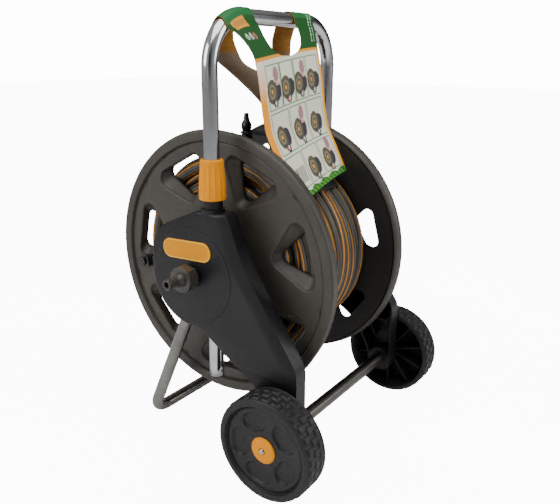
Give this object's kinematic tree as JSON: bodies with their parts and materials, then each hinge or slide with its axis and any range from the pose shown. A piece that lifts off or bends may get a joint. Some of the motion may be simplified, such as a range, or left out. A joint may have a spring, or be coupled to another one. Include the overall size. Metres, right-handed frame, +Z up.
{
  "type": "garden hose reel cart",
  "caption": "Two-wheeled cart with a crank-driven hose drum between two side frames, a telescopic tube handle with twist collars, and a bent tube stand.",
  "frame": {"origin": "bottom centre of the bounding box at rest, on the floor", "axes": "+Z up, +X along the drum axle from the inlet side to the crank side, +Y from the wheels towards the stand"},
  "size_m": [0.463, 0.443, 0.6539],
  "materials": {
    "frame_plastic": "satin moulded",
    "drum_plastic": "satin moulded",
    "wheel_plastic": "moulded",
    "yellow_plastic": "satin moulded",
    "badge_plastic": "satin moulded",
    "inlet_plastic": "satin moulded",
    "bright_steel": "polished tube",
    "zinc_steel": "plated",
    "seal_rubber": "plain",
    "hose_pvc": "grey with orange stripes",
    "card": "printed card"
  },
  "bodies": {
    "frame": {"near_frame": "frame_plastic", "far_frame": "frame_plastic", "near_hub_cover": "frame_plastic", "far_hub_cover": "frame_plastic", "near_badge": "badge_plastic", "far_badge": "badge_plastic", "near_bush": "inlet_plastic", "far_bush": "inlet_plastic", "near_collet": "frame_plastic", "far_collet": "frame_plastic", "inlet_stem": "inlet_plastic", "inlet_nut": "inlet_plastic", "inlet_plug": "inlet_plastic", "stem_o_rings": "seal_rubber", "stand_tube": "bright_steel", "stand_screws": "zinc_steel", "axle_tube": "bright_steel", "axle_rod": "zinc_steel", "axle_push_nuts": "zinc_steel"},
    "handle": {"handle_tube": "bright_steel", "handle_stop_pins": "zinc_steel", "handle_end_plugs": "frame_plastic", "card_sleeve": "card", "hose_nozzle": "inlet_plastic", "nozzle_holder": "frame_plastic"},
    "near_collar": {"near_collar": "yellow_plastic"},
    "far_collar": {"far_collar": "yellow_plastic"},
    "drum": {"near_flange": "drum_plastic", "far_flange": "drum_plastic", "near_core_half": "drum_plastic", "far_core_half": "drum_plastic", "core_screws": "zinc_steel", "water_tube": "inlet_plastic", "hose_spigot": "inlet_plastic", "hose_coil": "hose_pvc", "hose_end_connector": "inlet_plastic", "hose_strap": "seal_rubber", "hose_clip": "frame_plastic", "crank_arm": "frame_plastic", "crank_screw": "zinc_steel", "grip_spindle": "zinc_steel"},
    "crank_grip": {"crank_grip": "frame_plastic"},
    "near_wheel": {"near_wheel": "wheel_plastic", "near_wheel_cap": "yellow_plastic"},
    "far_wheel": {"far_wheel": "wheel_plastic", "far_wheel_cap": "yellow_plastic"}
  },
  "joints": [
    {"name": "handle_slide", "type": "slide", "parent": "frame", "child": "handle", "axis": [0, 0, 1], "range_m": [0, 0.233]},
    {"name": "near_collar_twist", "type": "hinge", "parent": "frame", "child": "near_collar", "pos_m": [-0.163, -0.0129, 0.426], "axis": [0, 0, 1], "range_deg": [0, 120]},
    {"name": "far_collar_twist", "type": "hinge", "parent": "frame", "child": "far_collar", "pos_m": [0.134, -0.0129, 0.426], "axis": [0, 0, 1], "range_deg": [0, 120]},
    {"name": "drum_spin", "type": "hinge", "parent": "frame", "child": "drum", "pos_m": [-0.0145, 0.0165, 0.2836], "axis": [1, 0, 0], "continuous": true},
    {"name": "grip_spin", "type": "hinge", "parent": "drum", "child": "crank_grip", "pos_m": [0.2025, 0.0165, 0.1686], "axis": [1, 0, 0], "continuous": true},
    {"name": "near_wheel_spin", "type": "hinge", "parent": "frame", "child": "near_wheel", "pos_m": [-0.2045, -0.1445, 0.077], "axis": [1, 0, 0], "continuous": true},
    {"name": "far_wheel_spin", "type": "hinge", "parent": "frame", "child": "far_wheel", "pos_m": [0.1755, -0.1445, 0.077], "axis": [1, 0, 0], "continuous": true}
  ]
}
